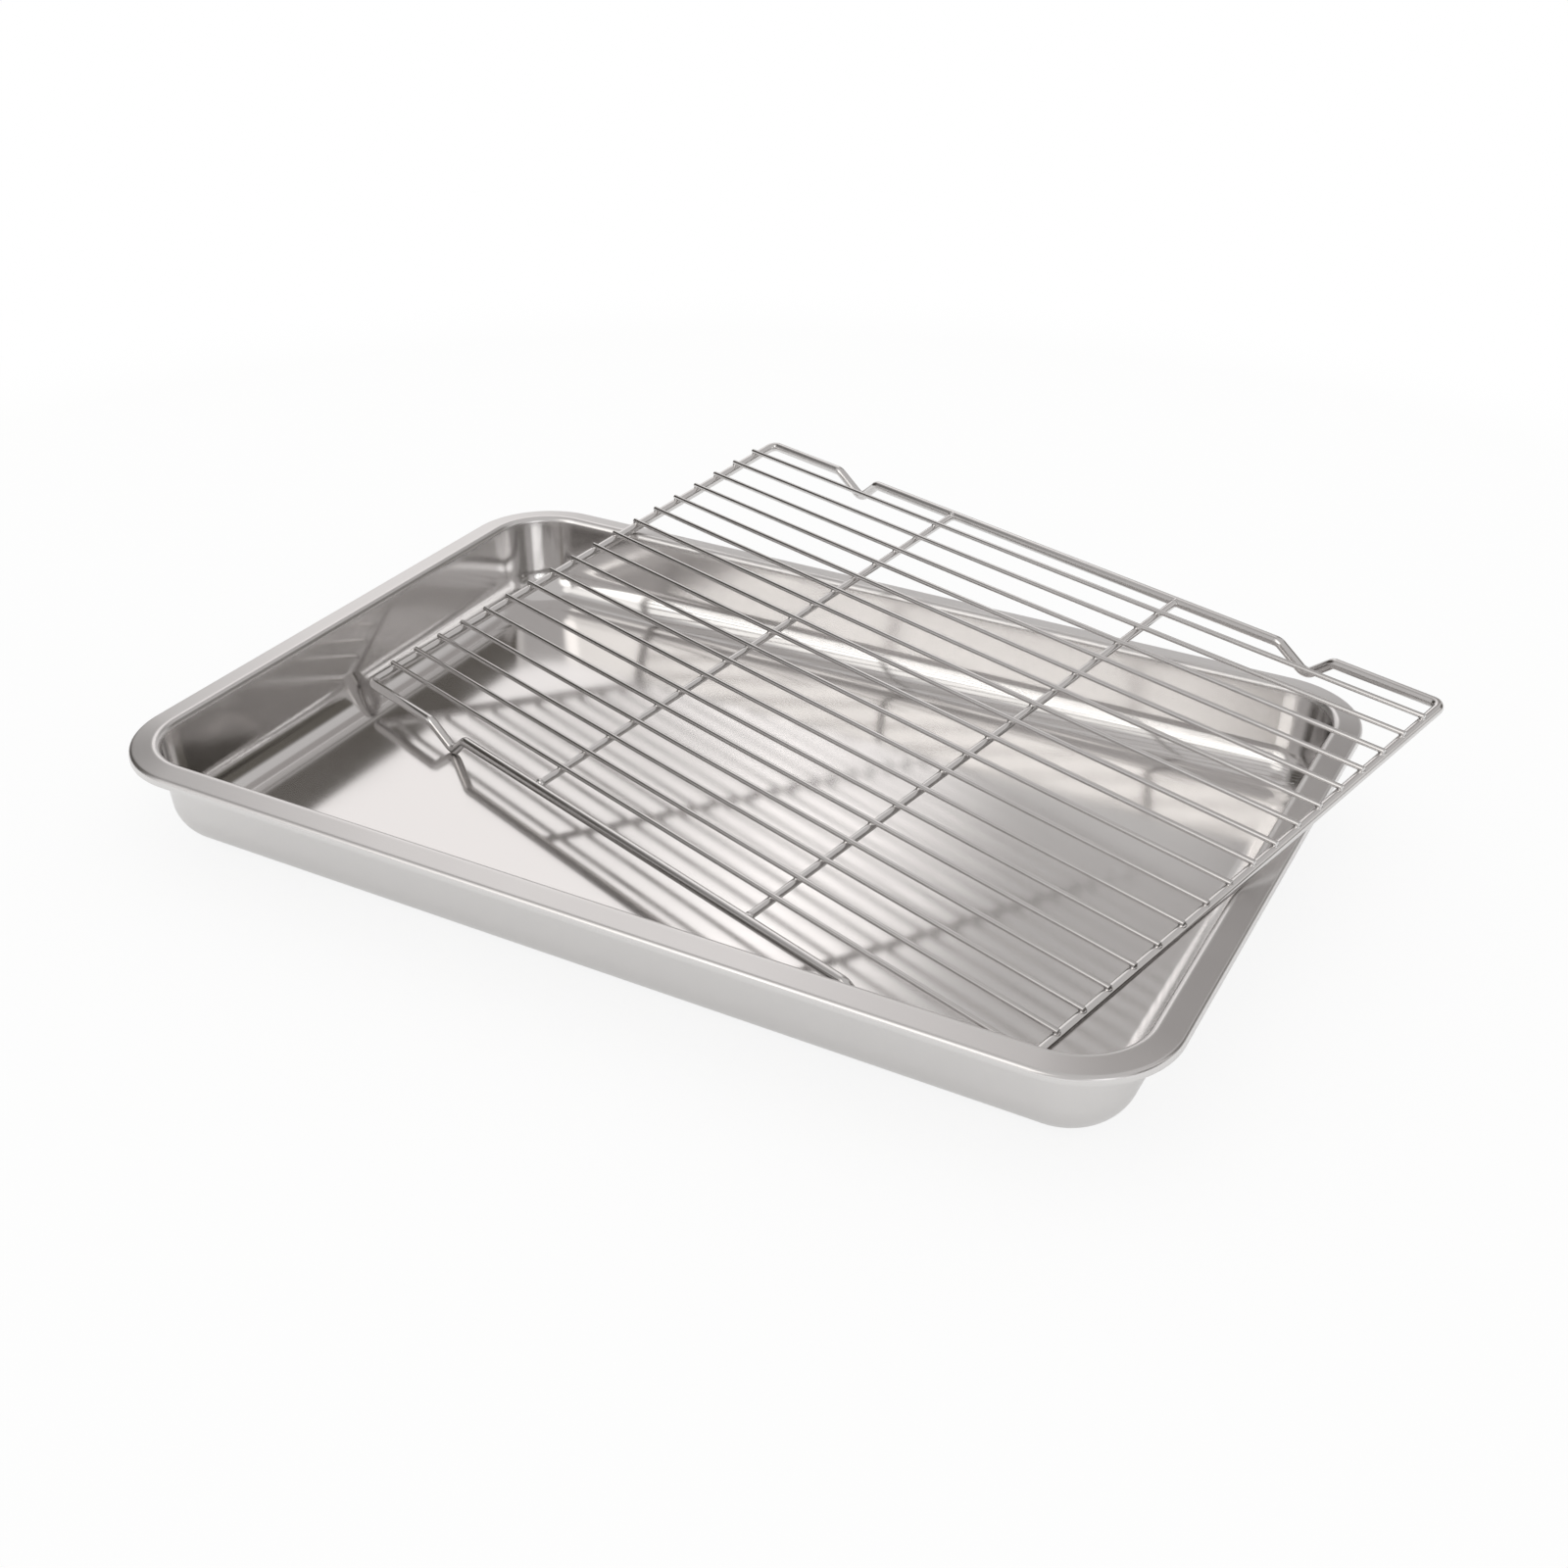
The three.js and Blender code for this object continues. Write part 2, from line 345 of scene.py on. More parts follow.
class NodeTool:
    """A geometry tree with named inputs, run once on a mesh to make a plain mesh."""

    def __init__(self, name: str, sizes: dict[str, SizeInput]) -> None:
        """Starts the tree with its inputs.

        Args:
            name: the tree's name.
            sizes: each input's name and kind.
        """
        self.tree = bpy.data.node_groups.new(name, "GeometryNodeTree")
        face = self.tree.interface
        face.new_socket(name="Geometry", in_out="INPUT", socket_type="NodeSocketGeometry")
        face.new_socket(name="Geometry", in_out="OUTPUT", socket_type="NodeSocketGeometry")
        self.sockets = {
            size: face.new_socket(name=size, in_out="INPUT", socket_type=kind.value).identifier
            for size, kind in sizes.items()
        }
        self.entry = add_node(self.tree, "NodeGroupInput").outputs

    def end(self, geometry: bpy.types.NodeSocket) -> None:
        """Ends the tree with smooth faces, real meshes and the material.

        Args:
            geometry: the socket that gives the finished geometry.
        """
        smooth = add_node(self.tree, "GeometryNodeSetShadeSmooth", {"Geometry": geometry})
        real = add_node(self.tree, "GeometryNodeRealizeInstances", {"Geometry": smooth.outputs[0]})
        dressed = add_node(
            self.tree,
            "GeometryNodeSetMaterial",
            {"Geometry": real.outputs[0], "Material": self.entry["Material"]},
        )
        add_node(self.tree, "NodeGroupOutput", {"Geometry": dressed.outputs[0]})

    def run(self, name: str, mesh: bpy.types.Mesh, values: dict[str, Any]) -> bpy.types.Mesh:
        """Runs the tree on a mesh.

        Args:
            name: the new mesh's name.
            mesh: what the tree's geometry input gets.
            values: the value of each named input.

        Returns:
            The finished mesh, with no modifier left on it.
        """
        carrier = bpy.data.objects.new(name + "_carrier", mesh)
        bpy.context.scene.collection.objects.link(carrier)
        modifier = carrier.modifiers.new(self.tree.name, "NODES")
        modifier.node_group = self.tree
        for size, value in values.items():
            modifier[self.sockets[size]] = value
        graph = bpy.context.evaluated_depsgraph_get()
        made = bpy.data.meshes.new_from_object(carrier.evaluated_get(graph), depsgraph=graph)
        made.name = name
        carrier.modifiers.clear()
        bpy.data.objects.remove(carrier)
        return made


def line_mesh(name: str, paths: list[list[Vector]], closed: bool) -> bpy.types.Mesh:
    """Makes a mesh of bare edges, which a geometry tree turns to wires.

    Args:
        name: the mesh's name.
        paths: the points of each path.
        closed: whether each path's last point joins its first.

    Returns:
        The mesh.
    """
    points: list[Vector] = []
    edges: list[tuple[int, int]] = []
    for path in paths:
        start = len(points)
        points.extend(path)
        edges.extend((start + index, start + index + 1) for index in range(len(path) - 1))
        if closed:
            edges.append((start + len(path) - 1, start))
    mesh = bpy.data.meshes.new(name)
    mesh.from_pydata(points, edges, [])
    return mesh


def place_piece(
    name: str, mesh: bpy.types.Mesh, body: Body, nodes: list[str]
) -> bpy.types.Object:
    """Puts a finished mesh in the scene as a piece of the object.

    Args:
        name: the piece's name.
        mesh: its mesh, already at its place in the frame.
        body: the body that it rides on.
        nodes: the nodes that it stands for.

    Returns:
        The new object, at the origin.
    """
    piece = bpy.data.objects.new(name, mesh)
    bpy.context.scene.collection.objects.link(piece)
    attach(piece, body.value)
    if nodes:
        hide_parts(*nodes)
    log.info("%s: %d faces on %s", name, len(mesh.polygons), body.value)
    return piece


@dataclass
class BakingTray:
    """The tray: one sheet pressed to a shallow box, with a gently sloping rim and a turned-down lip."""

    length: float
    width: float
    height: float
    sheet: float = 0.8 * MM
    flange_width: float = 11 * MM
    rim_corner_radius: float = 35.5 * MM
    rim_bend_radius: float = 2.5 * MM
    floor_bend_radius: float = 15 * MM
    lip_bend_radius: float = 1.6 * MM
    lip_drop: float = 3.5 * MM
    draft: float = math.radians(5)
    flange_slope: float = math.radians(7)
    flat_margin: float = 0.5 * MM
    corner_steps: int = 40
    small_bend_steps: int = 12
    floor_bend_steps: int = 36
    edge_steps: int = 6
    finish: PressedSheet = field(default_factory=PressedSheet)

    @classmethod
    def from_frame(cls) -> "BakingTray":
        """Takes the tray's overall sizes from the frame."""
        low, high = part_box("tray")
        return cls(length=high.x - low.x, width=high.y - low.y, height=high.z - low.z)

    @property
    def rim_centre(self) -> tuple[float, float]:
        """The centre of the bend at the flange's inner edge, as inset and height."""
        run = self.rim_bend_radius * (1 - math.sin(self.draft)) / math.cos(self.draft)
        return self.flange_width - run, self.height - self.rim_bend_radius

    @property
    def lip_height(self) -> float:
        """The height of the lip, which the flange slopes down to from the bend at its inner edge.

        Returns:
            The height above the underside.
        """
        inset, level = self.rim_centre
        rise = self.rim_bend_radius - self.lip_bend_radius
        run = (inset - self.lip_bend_radius) * math.sin(self.flange_slope)
        return level + (rise - run) / math.cos(self.flange_slope) + self.lip_bend_radius

    def ring(self, inset: float, height: float) -> list[Vector]:
        """Gives one turn round the tray.

        Args:
            inset: distance in from the rim's outer edge.
            height: distance above the underside.

        Returns:
            The ring's points, counterclockwise from the back right corner.
        """
        radius = self.rim_corner_radius - inset
        corner_x = self.length / 2 - inset - radius
        corner_y = self.width / 2 - inset - radius
        points = []
        for quarter, (sign_x, sign_y) in enumerate([(1, 1), (-1, 1), (-1, -1), (1, -1)]):
            start = quarter * math.pi / 2
            centre = (sign_x * corner_x, sign_y * corner_y)
            for across, along in arc_points(centre, radius, start, start + math.pi / 2, self.corner_steps):
                points.append(Vector((across, along, height)))
        return points

    def face_section(self, depth: float) -> list[tuple[float, float]]:
        """Draws one face of the sheet, from the lip's lower edge to the floor.

        Args:
            depth: zero on the upper face, the sheet's thickness on the lower one.

        Returns:
            Points of inset and height. The flats have a point close to each bend, so that they shade flat.
        """
        slope, fall = self.draft, self.flange_slope
        rim_centre = self.rim_centre
        lip_centre = (self.lip_bend_radius, self.lip_height - self.lip_bend_radius)
        floor_height = self.sheet + self.floor_bend_radius
        wall_run = (self.height - floor_height) * math.sin(slope)
        floor_centre = (
            self.flange_width + (self.floor_bend_radius + wall_run) / math.cos(slope),
            floor_height,
        )
        steep = math.pi / 2 + fall
        lip = arc_points(lip_centre, self.lip_bend_radius - depth, math.pi, steep, self.small_bend_steps)
        rim = arc_points(rim_centre, self.rim_bend_radius - depth, steep, slope, self.small_bend_steps)
        floor = arc_points(
            floor_centre,
            self.floor_bend_radius + depth,
            math.pi + slope,
            1.5 * math.pi,
            self.floor_bend_steps,
        )
        margin = self.flat_margin
        wall_step = (margin * math.sin(slope), -margin * math.cos(slope))
        flange_step = (margin * math.cos(fall), margin * math.sin(fall))
        return [
            *lip,
            (lip[-1][0] + flange_step[0], lip[-1][1] + flange_step[1]),
            (rim[0][0] - flange_step[0], rim[0][1] - flange_step[1]),
            *rim,
            (rim[-1][0] + wall_step[0], rim[-1][1] + wall_step[1]),
            (floor[0][0] - wall_step[0], floor[0][1] - wall_step[1]),
            *floor,
            (floor[-1][0] + margin, floor[-1][1]),
        ]

    def section(self) -> list[tuple[float, float]]:
        """Draws the whole section: the upper face from the floor out, round the lip's edge, and back below.

        Returns:
            Points of inset and height.
        """
        edge_radius = self.sheet / 2
        edge_centre = (edge_radius, self.lip_height - self.lip_drop + edge_radius)
        edge = arc_points(edge_centre, edge_radius, math.pi, 2 * math.pi, self.edge_steps)
        return [*reversed(self.face_section(0.0)), *edge, *self.face_section(self.sheet)]

    def build(self) -> bpy.types.Object:
        """Builds the sheet and dresses it.

        Returns:
            The piece.
        """
        mesh = skin_rings("tray_sheet", [self.ring(*at) for at in self.section()])
        mesh.materials.append(self.finish.build())
        return place_piece("tray_sheet", mesh, Body.TRAY, ["tray"])


def wire_ends(node: str) -> tuple[Vector, Vector]:
    """Finds the middle of each end of a straight wire.

    Args:
        node: the wire's node.

    Returns:
        The two ends' middles.
    """
    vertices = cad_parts[node].data.vertices
    points = {tuple(round(value, POINT_DIGITS) for value in vertex.co) for vertex in vertices}
    corners = [Vector(point) for point in sorted(points)]
    middle = sum(corners, Vector()) / len(corners)
    along = max(corners, key=lambda corner: (corner - middle).length) - middle
    halves = [[c for c in corners if (c - middle).dot(along) * sign > 0] for sign in (-1, 1)]
    first, last = (sum(half, Vector()) / len(half) for half in halves)
    return first, last


@dataclass
class WireRack:
    """The rack: a border wire with four V-shaped feet, two cross wires and a row of thin long wires."""

    pose: Matrix
    length: float
    width: float
    cross_places: list[float]
    long_names: list[str]
    border_wire: float = 4 * MM
    cross_wire: float = 3 * MM
    long_wire: float = 2 * MM
    corner_radius: float = 3.5 * MM
    setback: float = 1 * MM
    foot_inset: float = 57 * MM
    foot_width: float = 24 * MM
    foot_depth: float = 10 * MM
    foot_bend_radius: float = 4 * MM
    weld_sink: float = 0.25 * MM
    end_round: float = 0.35 * MM
    wander: float = 0.15 * MM
    weld_size: tuple[float, float, float] = (1.35 * MM, 1.35 * MM, 0.75 * MM)
    butt_weld_size: tuple[float, float, float] = (2.1 * MM, 1.3 * MM, 1.9 * MM)
    weld_spread: tuple[float, float] = (0.85, 1.1)
    seed: int = 7
    corner_steps: int = 14
    foot_steps: int = 8
    border_sides: int = 28
    cross_sides: int = 24
    long_sides: int = 18
    end_steps: int = 4
    weld_levels: int = 3
    finish: DrawnWire = field(default_factory=DrawnWire)

    @classmethod
    def from_frame(cls) -> "WireRack":
        """Takes the rack's place and overall sizes from the wires in the frame.

        Returns:
            The rack, with its pose on the tray.
        """
        names = sorted(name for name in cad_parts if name.startswith("long_wire_"))
        ends = [sorted(wire_ends(name), key=lambda end: end.x) for name in names]
        middles = [(first + last) / 2 for first, last in ends]
        along = (ends[0][1] - ends[0][0]).normalized()
        across = (middles[-1] - middles[0]).normalized()
        up = along.cross(across).normalized()
        pitch = (middles[-1] - middles[0]).length / (len(names) - 1)
        length = (ends[0][1] - ends[0][0]).length - cls.border_wire + 2 * cls.setback
        cross_ends = [wire_ends(name) for name in ("cross_wire_left", "cross_wire_right")]
        cross_middles = [(first + last) / 2 for first, last in cross_ends]
        level = cross_middles[0] - up * (cls.border_wire - cls.cross_wire) / 2
        centre = (middles[0] + middles[-1]) / 2
        origin = centre - up * (centre - level).dot(up)
        pose = Matrix((along, across, up)).transposed().to_4x4()
        pose.translation = origin
        places = [(middle - origin).dot(along) for middle in cross_middles]
        return cls(pose, length, pitch * (len(names) + 1), places, names)

    @property
    def pitch(self) -> float:
        """The distance between two long wires."""
        return self.width / (len(self.long_names) + 1)

    @property
    def long_height(self) -> float:
        """The height of the long wires' middle lines above the border's, sunk a little by the welds."""
        return (self.border_wire + self.long_wire) / 2 - self.weld_sink

    def side_corners(self, direction: int) -> list[tuple[Vector, float, int]]:
        """Lists the bends of one long side of the border.

        Args:
            direction: 1 for the front side, which runs to the right, and -1 for the back side.

        Returns:
            Each bend's corner point, radius and number of steps.
        """
        side = -direction * self.width / 2
        foot_place = self.length / 2 - self.foot_inset
        bends = [(-self.length / 2, 0.0, self.corner_radius, self.corner_steps)]
        reach = self.foot_width / 2
        for foot in (-foot_place, foot_place):
            for along, drop in ((-reach, 0.0), (0.0, self.foot_depth), (reach, 0.0)):
                bends.append((foot + along, -drop, self.foot_bend_radius, self.foot_steps))
        bends.append((self.length / 2, 0.0, self.corner_radius, self.corner_steps))
        return [(Vector((direction * x, side, z)), radius, steps) for x, z, radius, steps in bends]

    def border_path(self) -> list[Vector]:
        """Draws the border wire's middle line, once round the rack.

        Returns:
            The line's points in the rack's own frame.
        """
        corners = self.side_corners(1) + self.side_corners(-1)
        path = []
        for index, (corner, radius, steps) in enumerate(corners):
            arriving = (corner - corners[index - 1][0]).normalized()
            leaving = (corners[(index + 1) % len(corners)][0] - corner).normalized()
            turn = arriving.angle(leaving)
            inward = (leaving - arriving * arriving.dot(leaving)).normalized()
            start = corner - arriving * radius * math.tan(turn / 2)
            for forward, aside in arc_points((0.0, 0.0), radius, -math.pi / 2, turn - math.pi / 2, steps):
                path.append(start + arriving * forward + inward * (aside + radius))
        return path

    def wire_tool(self) -> NodeTool:
        """Makes the tree that sweeps a round wire along each path of edges.

        Returns:
            The tree, with inputs for the wire's diameter, sides and material.
        """
        tool = NodeTool(
            "round_wire",
            {"Diameter": SizeInput.LENGTH, "Sides": SizeInput.COUNT, "Material": SizeInput.MATERIAL},
        )
        tree, entry = tool.tree, tool.entry
        radius = add_node(tree, "ShaderNodeMath", {0: entry["Diameter"], 1: 0.5}, operation="MULTIPLY")
        path = add_node(tree, "GeometryNodeMeshToCurve", {"Mesh": entry["Geometry"]})
        section = add_node(
            tree,
            "GeometryNodeCurvePrimitiveCircle",
            {"Resolution": entry["Sides"], "Radius": radius.outputs[0]},
            mode="RADIUS",
        )
        wire = add_node(
            tree,
            "GeometryNodeCurveToMesh",
            {"Curve": path.outputs[0], "Profile Curve": section.outputs["Curve"], "Fill Caps": True},
        )
        tool.end(wire.outputs[0])
        return tool

    def row_tool(self) -> NodeTool:
        """Makes the tree that repeats one long wire across the rack, each a little out of true.

        Returns:
            The tree, with inputs for the row's count, pitch, height, wander, seed and material.
        """
        tool = NodeTool(
            "wire_row",
            {
                "Count": SizeInput.COUNT,
                "Pitch": SizeInput.LENGTH,
                "Height": SizeInput.LENGTH,
                "Wander": SizeInput.LENGTH,
                "Seed": SizeInput.COUNT,
                "Material": SizeInput.MATERIAL,
            },
        )
        tree, entry = tool.tree, tool.entry
        gaps = add_node(tree, "ShaderNodeMath", {0: entry["Count"], 1: -1.0}, operation="ADD")
        span = add_node(
            tree, "ShaderNodeMath", {0: gaps.outputs[0], 1: entry["Pitch"]}, operation="MULTIPLY"
        )
        first = add_node(tree, "ShaderNodeMath", {0: span.outputs[0], 1: -0.5}, operation="MULTIPLY")
        start = add_node(tree, "ShaderNodeCombineXYZ", {"Y": first.outputs[0], "Z": entry["Height"]})
        step = add_node(tree, "ShaderNodeCombineXYZ", {"Y": entry["Pitch"]})
        places = add_node(
            tree,
            "GeometryNodeMeshLine",
            {"Count": entry["Count"], "Start Location": start.outputs[0], "Offset": step.outputs[0]},
            mode="OFFSET",
        )
        least = add_node(tree, "ShaderNodeMath", {0: entry["Wander"], 1: -1.0}, operation="MULTIPLY")
        sway = add_node(
            tree,
            "FunctionNodeRandomValue",
            {2: least.outputs[0], 3: entry["Wander"], "Seed": entry["Seed"]},
            data_type="FLOAT",
        )
        aside = add_node(tree, "ShaderNodeCombineXYZ", {"Y": sway.outputs[1]})
        moved = add_node(
            tree, "GeometryNodeSetPosition", {"Geometry": places.outputs[0], "Offset": aside.outputs[0]}
        )
        row = add_node(
            tree,
            "GeometryNodeInstanceOnPoints",
            {"Points": moved.outputs[0], "Instance": entry["Geometry"]},
        )
        tool.end(row.outputs[0])
        return tool

    def weld_tool(self) -> NodeTool:
        """Makes the tree that puts a flattened bead of weld metal on each point.

        Returns:
            The tree, with inputs for the bead's size, seed and material.
        """
        tool = NodeTool(
            "weld_beads",
            {"Size": SizeInput.VECTOR, "Seed": SizeInput.COUNT, "Material": SizeInput.MATERIAL},
        )
        tree, entry = tool.tree, tool.entry
        bead = add_node(tree, "GeometryNodeMeshIcoSphere", {"Radius": 1.0, "Subdivisions": self.weld_levels})
        share = add_node(
            tree,
            "FunctionNodeRandomValue",
            {2: self.weld_spread[0], 3: self.weld_spread[1], "Seed": entry["Seed"]},
            data_type="FLOAT",
        )
        size = add_node(
            tree, "ShaderNodeVectorMath", {0: entry["Size"], 1: share.outputs[1]}, operation="MULTIPLY"
        )
        beads = add_node(
            tree,
            "GeometryNodeInstanceOnPoints",
            {"Points": entry["Geometry"], "Instance": bead.outputs["Mesh"], "Scale": size.outputs[0]},
        )
        tool.end(beads.outputs[0])
        return tool

    def long_wire_mesh(self) -> bpy.types.Mesh:
        """Turns one long wire along X, centred on the origin, with its cut ends rounded off.

        Returns:
            The wire's mesh.
        """
        half = self.length / 2 + self.border_wire / 2 - self.setback
        radius = self.long_wire / 2
        edge_centre = (self.end_round - half, radius - self.end_round)
        left = arc_points(edge_centre, self.end_round, math.pi, math.pi / 2, self.end_steps)
        stations = [*left, *[(-x, r) for x, r in reversed(left)]]
        turns = [2 * math.pi * side / self.long_sides for side in range(self.long_sides)]
        rings = [
            [Vector((x, r * math.cos(turn), r * math.sin(turn))) for turn in turns] for x, r in stations
        ]
        return skin_rings("long_wire", rings)

    def weld_points(self) -> list[Vector]:
        """Lists where the long wires cross the border's ends and the cross wires.

        Returns:
            The points, on the underside of each long wire.
        """
        span = (len(self.long_names) - 1) * self.pitch
        height = self.long_height - self.long_wire / 2
        lines = [-self.length / 2, *self.cross_places, self.length / 2]
        return [
            Vector((x, index * self.pitch - span / 2, height))
            for index in range(len(self.long_names))
            for x in lines
        ]

    def butt_points(self) -> list[Vector]:
        """Lists where the cross wires meet the border's long sides.

        Returns:
            The points, two for each cross wire.
        """
        side = (self.width - self.border_wire) / 2
        height = (self.border_wire - self.cross_wire) / 2
        return [Vector((x, sign * side, height)) for x in self.cross_places for sign in (-1, 1)]

    def build(self) -> list[bpy.types.Object]:
        """Builds the rack's wires and welds and dresses them.

        Returns:
            The pieces.
        """
        steel = self.finish.build()
        wires = self.wire_tool()
        border = wires.run(
            "rack_border_wire",
            line_mesh("border_path", [self.border_path()], True),
            {"Diameter": self.border_wire, "Sides": self.border_sides, "Material": steel},
        )
        reach = self.width / 2
        level = (self.border_wire - self.cross_wire) / 2
        paths = [[Vector((x, -reach, level)), Vector((x, reach, level))] for x in self.cross_places]
        cross = wires.run(
            "rack_cross_wires",
            line_mesh("cross_paths", paths, False),
            {"Diameter": self.cross_wire, "Sides": self.cross_sides, "Material": steel},
        )
        row = self.row_tool().run(
            "rack_long_wires",
            self.long_wire_mesh(),
            {
                "Count": len(self.long_names),
                "Pitch": self.pitch,
                "Height": self.long_height,
                "Wander": self.wander,
                "Seed": self.seed,
                "Material": steel,
            },
        )
        beads = self.weld_tool()
        welds = beads.run(
            "rack_spot_welds",
            line_mesh("weld_points", [[point] for point in self.weld_points()], False),
            {"Size": self.weld_size, "Seed": self.seed, "Material": steel},
        )
        butts = beads.run(
            "rack_butt_welds",
            line_mesh("butt_points", [[point] for point in self.butt_points()], False),
            {"Size": self.butt_weld_size, "Seed": self.seed, "Material": steel},
        )
        stands_for = {
            "rack_border_wire": ["rack_border"],
            "rack_cross_wires": ["cross_wire_left", "cross_wire_right"],
            "rack_long_wires": self.long_names,
        }
        pieces = []
        for mesh in (border, cross, row, welds, butts):
            mesh.transform(self.pose)
            nodes = stands_for.get(mesh.name, [])
            pieces.append(place_piece(mesh.name, mesh, Body.RACK, nodes))
        return pieces


@dataclass(frozen=True)
class Panel:
    """A round patch of the surround, dark flag or lit screen, that bright metal mirrors.

    The patch has its full shade out to the core angle and fades to nothing at the edge angle, in degrees.
    """

    azimuth: float
    elevation: float
    core: float
    edge: float
    shade: str
    level: float = 1.0

    @property
    def radiance(self) -> tuple[float, float, float, float]:
        """The patch's linear colour at its level."""
        red, green, blue, _ = linear(self.shade)
        return red * self.level, green * self.level, blue * self.level, 1.0


@dataclass
class Studio:
    """A pale floor, a pale surround with a few dark and lit panels, and the camera."""

    white: str = "#ffffff"
    floor_size: float = 12.0
    floor_colour: str = "#f4f4f3"
    # The floor turns to plain white between these distances from the origin.
    floor_fade: tuple[float, float] = (0.25, 0.7)
    # The share of plain white in the floor close to the object, to the camera and in the metal.
    floor_glow: float = 0.85
    mirror_glow: float = 0.3
    light_level: float = 1.0
    camera_azimuth: float = 27.753
    camera_elevation: float = 30.762
    camera_roll: float = 0.792
    camera_distance: float = 720.89 * MM
    camera_target: tuple[float, float, float] = (15.34 * MM, -6.45 * MM, 20 * MM)
    camera_lens: float = 44.501
    camera_sensor: float = 36.0
    camera_reach: float = 50.0
    surround: str = "#cecccb"
    # Each panel lies over those before it.
    panels: tuple[Panel, ...] = (
        Panel(azimuth=-84.0, elevation=19.0, core=18.0, edge=37.0, shade="#4a4642"),
        Panel(azimuth=87.0, elevation=10.0, core=9.0, edge=19.0, shade="#55514b"),
        Panel(azimuth=45.0, elevation=24.0, core=13.0, edge=23.0, shade="#625e58"),
        Panel(azimuth=55.0, elevation=21.0, core=4.5, edge=8.5, shade="#26221d"),
        Panel(azimuth=68.0, elevation=28.0, core=7.0, edge=14.0, shade="#ebe9e7"),
        Panel(azimuth=2.0, elevation=34.0, core=8.0, edge=14.0, shade="#8a8684"),
        Panel(azimuth=-10.0, elevation=51.0, core=7.0, edge=12.0, shade="#a6a2a0"),
        Panel(azimuth=-95.0, elevation=64.0, core=6.0, edge=14.0, shade="#b3b0ae"),
        Panel(azimuth=-43.0, elevation=14.0, core=7.0, edge=12.0, shade="#faf7f6"),
        Panel(azimuth=-38.0, elevation=46.0, core=8.0, edge=15.0, shade="#edeae9"),
        Panel(azimuth=-42.0, elevation=47.0, core=3.0, edge=8.0, shade="#fffcfb", level=1.08),
        Panel(azimuth=-30.0, elevation=31.0, core=4.5, edge=9.0, shade="#fffcfb", level=1.6),
        Panel(azimuth=-41.0, elevation=31.0, core=6.0, edge=12.0, shade="#fffcfb", level=1.12),
        Panel(azimuth=-161.0, elevation=25.0, core=12.0, edge=24.0, shade="#fffdfa", level=1.9),
        Panel(azimuth=-143.0, elevation=48.0, core=6.0, edge=14.0, shade="#fffdfa", level=1.25),
        Panel(azimuth=-176.0, elevation=18.0, core=5.0, edge=10.0, shade="#9a938b"),
        Panel(azimuth=128.0, elevation=14.0, core=6.0, edge=14.0, shade="#ffffff", level=1.8),
    )

    def build_floor(self) -> bpy.types.Object:
        """Lays the pale floor, which fades to plain white away from the object.

        Returns:
            The floor.
        """
        half = self.floor_size / 2
        mesh = bpy.data.meshes.new("floor")
        corners = [(-half, -half, 0.0), (half, -half, 0.0), (half, half, 0.0), (-half, half, 0.0)]
        mesh.from_pydata(corners, [], [(0, 1, 2, 3)])
        material = bpy.data.materials.new("matt_white_floor")
        material.use_nodes = True
        tree = material.node_tree
        tree.nodes.clear()
        place = add_node(tree, "ShaderNodeTexCoord").outputs["Object"]
        away = add_node(tree, "ShaderNodeVectorMath", {0: place}, operation="LENGTH").outputs["Value"]
        far = add_node(
            tree,
            "ShaderNodeMapRange",
            {"Value": away, "From Min": self.floor_fade[0], "From Max": self.floor_fade[1]},
            interpolation_type="SMOOTHSTEP",
        ).outputs["Result"]
        path = add_node(tree, "ShaderNodeLightPath").outputs
        seen = add_node(
            tree, "ShaderNodeMath", {0: path["Is Camera Ray"], 1: path["Is Glossy Ray"]}, operation="MAXIMUM"
        ).outputs[0]
        shown = add_node(
            tree, "ShaderNodeMath", {0: seen, 1: path["Is Transmission Ray"]}, operation="MAXIMUM"
        ).outputs[0]
        backdrop = add_node(tree, "ShaderNodeMath", {0: shown, 1: far}, operation="MULTIPLY").outputs[0]
        softened = add_node(
            tree, "ShaderNodeMath", {0: path["Is Camera Ray"], 1: self.floor_glow}, operation="MULTIPLY"
        ).outputs[0]
        near = add_node(
            tree,
            "ShaderNodeMath",
            {0: path["Is Glossy Ray"], 1: self.mirror_glow, 2: softened},
            operation="MULTIPLY_ADD",
        ).outputs[0]
        white = add_node(tree, "ShaderNodeMath", {0: backdrop, 1: near}, operation="MAXIMUM").outputs[0]
        matt = add_node(tree, "ShaderNodeBsdfDiffuse", {"Color": linear(self.floor_colour)}).outputs[0]
        plain = add_node(
            tree, "ShaderNodeEmission", {"Color": linear(self.white), "Strength": 1.0}
        ).outputs[0]
        mixed = add_node(tree, "ShaderNodeMixShader", {0: white, 1: matt, 2: plain}).outputs[0]
        add_node(tree, "ShaderNodeOutputMaterial", {"Surface": mixed})
        mesh.materials.append(material)
        floor = bpy.data.objects.new("floor", mesh)
        bpy.context.scene.collection.objects.link(floor)
        return floor

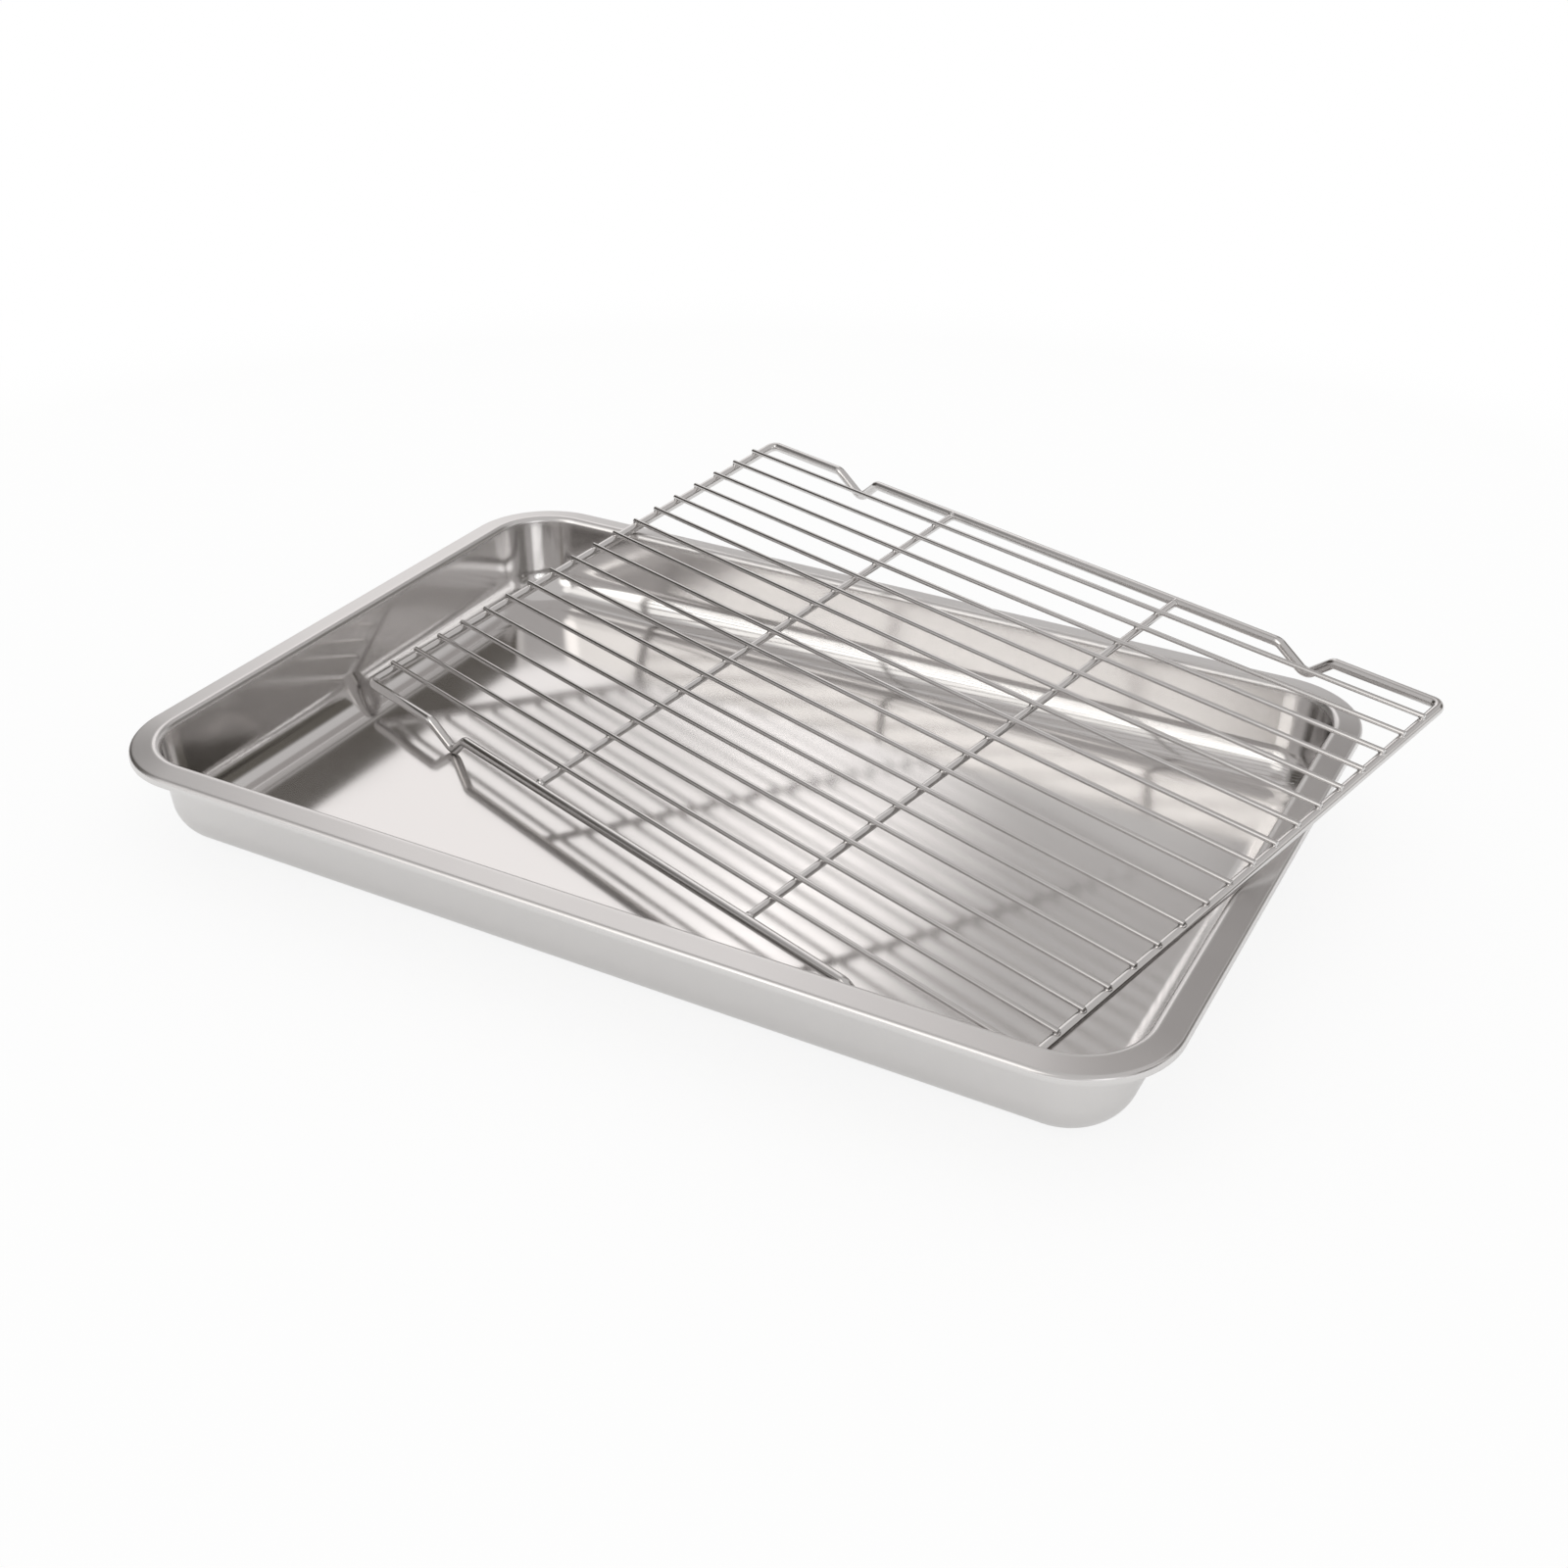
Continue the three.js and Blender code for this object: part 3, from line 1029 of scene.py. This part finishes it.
    def build_world(self) -> None:
        """Makes the surround: white to the camera, pale with its panels in the metal, and plain light."""
        world = bpy.data.worlds.new("studio")
        bpy.context.scene.world = world
        world.use_nodes = True
        tree = world.node_tree
        tree.nodes.clear()
        direction = add_node(tree, "ShaderNodeTexCoord").outputs["Generated"]
        surround: Any = linear(self.surround)
        for panel in self.panels:
            aim = unit_direction(panel.azimuth, panel.elevation)
            facing = add_node(tree, "ShaderNodeVectorMath", {0: direction, 1: aim}, operation="DOT_PRODUCT")
            shaded = add_node(
                tree,
                "ShaderNodeMapRange",
                {
                    "Value": facing.outputs["Value"],
                    "From Min": math.cos(math.radians(panel.edge)),
                    "From Max": math.cos(math.radians(panel.core)),
                },
                interpolation_type="SMOOTHSTEP",
            ).outputs["Result"]
            surround = add_node(
                tree, "ShaderNodeMix", {0: shaded, 6: surround, 7: panel.radiance}, data_type="RGBA"
            ).outputs[2]
        path = add_node(tree, "ShaderNodeLightPath").outputs
        mirrored = add_node(
            tree,
            "ShaderNodeMath",
            {0: path["Is Glossy Ray"], 1: path["Is Transmission Ray"]},
            operation="MAXIMUM",
        ).outputs[0]
        plain = add_node(
            tree, "ShaderNodeBackground", {"Color": linear(self.white), "Strength": self.light_level}
        ).outputs[0]
        flagged = add_node(tree, "ShaderNodeBackground", {"Color": surround, "Strength": 1.0}).outputs[0]
        white = add_node(
            tree, "ShaderNodeBackground", {"Color": linear(self.white), "Strength": 1.0}
        ).outputs[0]
        lit = add_node(tree, "ShaderNodeMixShader", {0: mirrored, 1: plain, 2: flagged}).outputs[0]
        shown = add_node(
            tree, "ShaderNodeMixShader", {0: path["Is Camera Ray"], 1: lit, 2: white}
        ).outputs[0]
        add_node(tree, "ShaderNodeOutputWorld", {"Surface": shown})

    def build_camera(self) -> bpy.types.Object:
        """Stands the camera where the photograph was taken from.

        Returns:
            The camera, which is also set as the scene's.
        """
        data = bpy.data.cameras.new("camera")
        data.lens = self.camera_lens
        data.sensor_width = self.camera_sensor
        data.clip_end = self.camera_reach
        camera = bpy.data.objects.new("camera", data)
        back = unit_direction(180.0 - self.camera_azimuth, self.camera_elevation)
        right = (-back).cross(Vector((0, 0, 1))).normalized()
        up = right.cross(-back)
        roll = math.radians(self.camera_roll)
        rolled_right = right * math.cos(roll) + up * math.sin(roll)
        rolled_up = up * math.cos(roll) - right * math.sin(roll)
        pose = Matrix((rolled_right, rolled_up, back)).transposed().to_4x4()
        pose.translation = Vector(self.camera_target) + back * self.camera_distance
        camera.matrix_world = pose
        bpy.context.scene.collection.objects.link(camera)
        bpy.context.scene.camera = camera
        return camera

    def build(self) -> None:
        """Builds the whole studio."""
        self.build_camera()
        self.build_floor()
        self.build_world()
        bpy.context.scene.view_settings.view_transform = "Standard"


def main() -> None:
    """Builds the studio, the tray and the rack."""
    logging.basicConfig(level=logging.INFO, format="%(name)s: %(message)s")
    Studio().build()
    BakingTray.from_frame().build()
    WireRack.from_frame().build()


if __name__ == "__main__":
    main()
